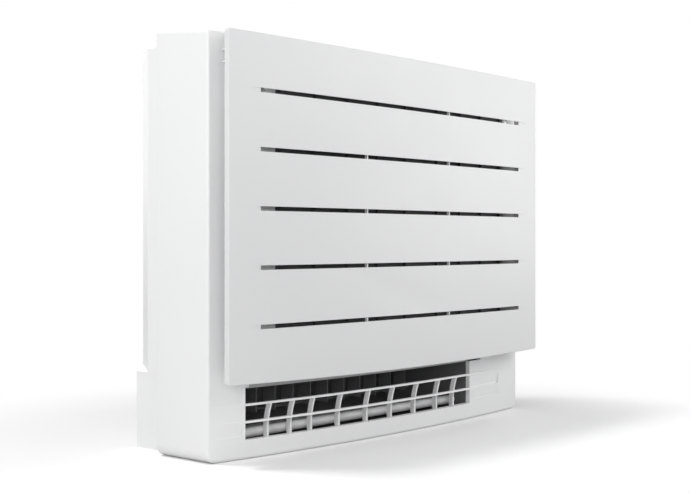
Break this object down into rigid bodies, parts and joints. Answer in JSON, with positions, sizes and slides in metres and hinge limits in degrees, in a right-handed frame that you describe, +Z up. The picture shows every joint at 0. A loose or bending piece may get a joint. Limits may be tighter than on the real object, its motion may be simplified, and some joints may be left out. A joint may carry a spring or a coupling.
{
  "type": "floor standing air conditioner",
  "caption": "Low wall-side air conditioner cabinet with a bowed slotted panel, a lower outlet with lapped bars and fins, and a flap over its upper outlet.",
  "frame": {"origin": "middle of the overall box at floor level", "axes": "+Z up, -Y to the room (front), +Y to the wall, X along the width"},
  "size_m": [0.75, 0.238, 0.6],
  "materials": {
    "white_plastic": "fine satin moulded shell",
    "rear_white_plastic": "satin moulded shell",
    "dark_plastic": "matt moulded inner part",
    "black_plastic": "matt",
    "filter_net": "fine woven net",
    "filter_media": "honeycomb",
    "fan_plastic": "glass filled moulding",
    "fin_aluminium": "thin stacked fins",
    "copper": "bare copper tube",
    "brass": "machined",
    "zinc_steel": "zinc coated sheet",
    "screw_steel": "plated",
    "rubber": "moulded",
    "circuit_board": "solder resist"
  },
  "bodies": {
    "root": {"bell_mouth": "dark_plastic", "box_cover": "zinc_steel", "casing_screws": "screw_steel", "coil_end_plate_left": "zinc_steel", "coil_end_plate_right": "zinc_steel", "coil_fins": "fin_aluminium", "coil_sensor": "black_plastic", "coil_tubes": "copper", "control_board": "circuit_board", "damper_motor": "zinc_steel", "deodoriser_left": "filter_media", "deodoriser_right": "filter_media", "drain_pan": "dark_plastic", "electrical_box": "zinc_steel", "fan_housing": "dark_plastic", "fan_motor": "zinc_steel", "filter_frame_left": "dark_plastic", "filter_frame_right": "dark_plastic", "filter_net_left": "filter_net", "filter_net_right": "filter_net", "flap_motor": "zinc_steel", "flare_nuts": "brass", "front_casing": "white_plastic", "gas_pipe": "copper", "inner_vane_row": "dark_plastic", "liquid_pipe": "copper", "louvre_base": "dark_plastic", "lower_duct": "dark_plastic", "motor_bushes": "rubber", "motor_screws": "screw_steel", "mounting_plate": "zinc_steel", "outlet_grille": "white_plastic", "rear_casing": "rear_white_plastic", "room_sensor": "black_plastic", "switch_board": "circuit_board", "terminal_block": "black_plastic", "upper_duct": "dark_plastic"},
    "panel": {"front_panel": "white_plastic", "panel_frame": "white_plastic"},
    "stopper_left": {"panel_stopper_left": "white_plastic"},
    "stopper_right": {"panel_stopper_right": "white_plastic"},
    "flap": {"upper_flap": "white_plastic"},
    "damper": {"lower_damper": "white_plastic"},
    "fan": {"turbo_fan": "fan_plastic", "motor_shaft": "screw_steel", "fan_nut": "screw_steel"},
    "button": {"switch_button": "white_plastic"},
    "link": {"louvre_link": "dark_plastic"},
    "louvre_1": {"louvre_1": "dark_plastic"},
    "louvre_2": {"louvre_2": "dark_plastic"},
    "louvre_3": {"louvre_3": "dark_plastic"},
    "louvre_4": {"louvre_4": "dark_plastic"},
    "louvre_5": {"louvre_5": "dark_plastic"},
    "louvre_6": {"louvre_6": "dark_plastic"},
    "louvre_7": {"louvre_7": "dark_plastic"},
    "louvre_8": {"louvre_8": "dark_plastic"},
    "louvre_9": {"louvre_9": "dark_plastic"},
    "louvre_10": {"louvre_10": "dark_plastic"}
  },
  "joints": [
    {"name": "panel_hinge", "type": "hinge", "parent": "root", "child": "panel", "pos_m": [0, -0.09626, 0.118], "axis": [1, 0, 0], "range_deg": [0, 60]},
    {"name": "stopper_left_slide", "type": "slide", "parent": "root", "child": "stopper_left", "axis": [1, 0, 0], "range_m": [0, 0.01]},
    {"name": "stopper_right_slide", "type": "slide", "parent": "root", "child": "stopper_right", "axis": [-1, 0, 0], "range_m": [0, 0.01]},
    {"name": "flap_hinge", "type": "hinge", "parent": "root", "child": "flap", "pos_m": [0, 0.021, 0.59122], "axis": [-1, 0, 0], "range_deg": [0, 75]},
    {"name": "damper_hinge", "type": "hinge", "parent": "root", "child": "damper", "pos_m": [0, -0.048, 0.031], "axis": [1, 0, 0], "range_deg": [0, 80]},
    {"name": "fan_spin", "type": "hinge", "parent": "root", "child": "fan", "pos_m": [0, 0.025, 0.33], "axis": [0, -1, 0], "continuous": true},
    {"name": "button_press", "type": "slide", "parent": "root", "child": "button", "axis": [0, 1, 0], "range_m": [0, 0.0012], "stiffness_N_per_m": 300, "springref_m": -0.001},
    {"name": "louvre_link_slide", "type": "slide", "parent": "root", "child": "link", "axis": [1, 0, 0], "range_m": [-0.011, 0.011]},
    {"name": "louvre_1_hinge", "type": "hinge", "parent": "root", "child": "louvre_1", "pos_m": [-0.252, 0.032, 0.5345], "axis": [0, 1, 0], "range_deg": [-25, 25]},
    {"name": "louvre_2_hinge", "type": "hinge", "parent": "root", "child": "louvre_2", "pos_m": [-0.196, 0.032, 0.5345], "axis": [0, 1, 0], "range_deg": [-25, 25]},
    {"name": "louvre_3_hinge", "type": "hinge", "parent": "root", "child": "louvre_3", "pos_m": [-0.14, 0.032, 0.5345], "axis": [0, 1, 0], "range_deg": [-25, 25]},
    {"name": "louvre_4_hinge", "type": "hinge", "parent": "root", "child": "louvre_4", "pos_m": [-0.084, 0.032, 0.5345], "axis": [0, 1, 0], "range_deg": [-25, 25]},
    {"name": "louvre_5_hinge", "type": "hinge", "parent": "root", "child": "louvre_5", "pos_m": [-0.028, 0.032, 0.5345], "axis": [0, 1, 0], "range_deg": [-25, 25]},
    {"name": "louvre_6_hinge", "type": "hinge", "parent": "root", "child": "louvre_6", "pos_m": [0.028, 0.032, 0.5345], "axis": [0, 1, 0], "range_deg": [-25, 25]},
    {"name": "louvre_7_hinge", "type": "hinge", "parent": "root", "child": "louvre_7", "pos_m": [0.084, 0.032, 0.5345], "axis": [0, 1, 0], "range_deg": [-25, 25]},
    {"name": "louvre_8_hinge", "type": "hinge", "parent": "root", "child": "louvre_8", "pos_m": [0.14, 0.032, 0.5345], "axis": [0, 1, 0], "range_deg": [-25, 25]},
    {"name": "louvre_9_hinge", "type": "hinge", "parent": "root", "child": "louvre_9", "pos_m": [0.196, 0.032, 0.5345], "axis": [0, 1, 0], "range_deg": [-25, 25]},
    {"name": "louvre_10_hinge", "type": "hinge", "parent": "root", "child": "louvre_10", "pos_m": [0.252, 0.032, 0.5345], "axis": [0, 1, 0], "range_deg": [-25, 25]}
  ],
  "couplings": [
    {"joint": "louvre_1_hinge", "follows": "louvre_link_slide", "rad_per_m": 38.462},
    {"joint": "louvre_2_hinge", "follows": "louvre_link_slide", "rad_per_m": 38.462},
    {"joint": "louvre_3_hinge", "follows": "louvre_link_slide", "rad_per_m": 38.462},
    {"joint": "louvre_4_hinge", "follows": "louvre_link_slide", "rad_per_m": 38.462},
    {"joint": "louvre_5_hinge", "follows": "louvre_link_slide", "rad_per_m": 38.462},
    {"joint": "louvre_6_hinge", "follows": "louvre_link_slide", "rad_per_m": 38.462},
    {"joint": "louvre_7_hinge", "follows": "louvre_link_slide", "rad_per_m": 38.462},
    {"joint": "louvre_8_hinge", "follows": "louvre_link_slide", "rad_per_m": 38.462},
    {"joint": "louvre_9_hinge", "follows": "louvre_link_slide", "rad_per_m": 38.462},
    {"joint": "louvre_10_hinge", "follows": "louvre_link_slide", "rad_per_m": 38.462}
  ]
}
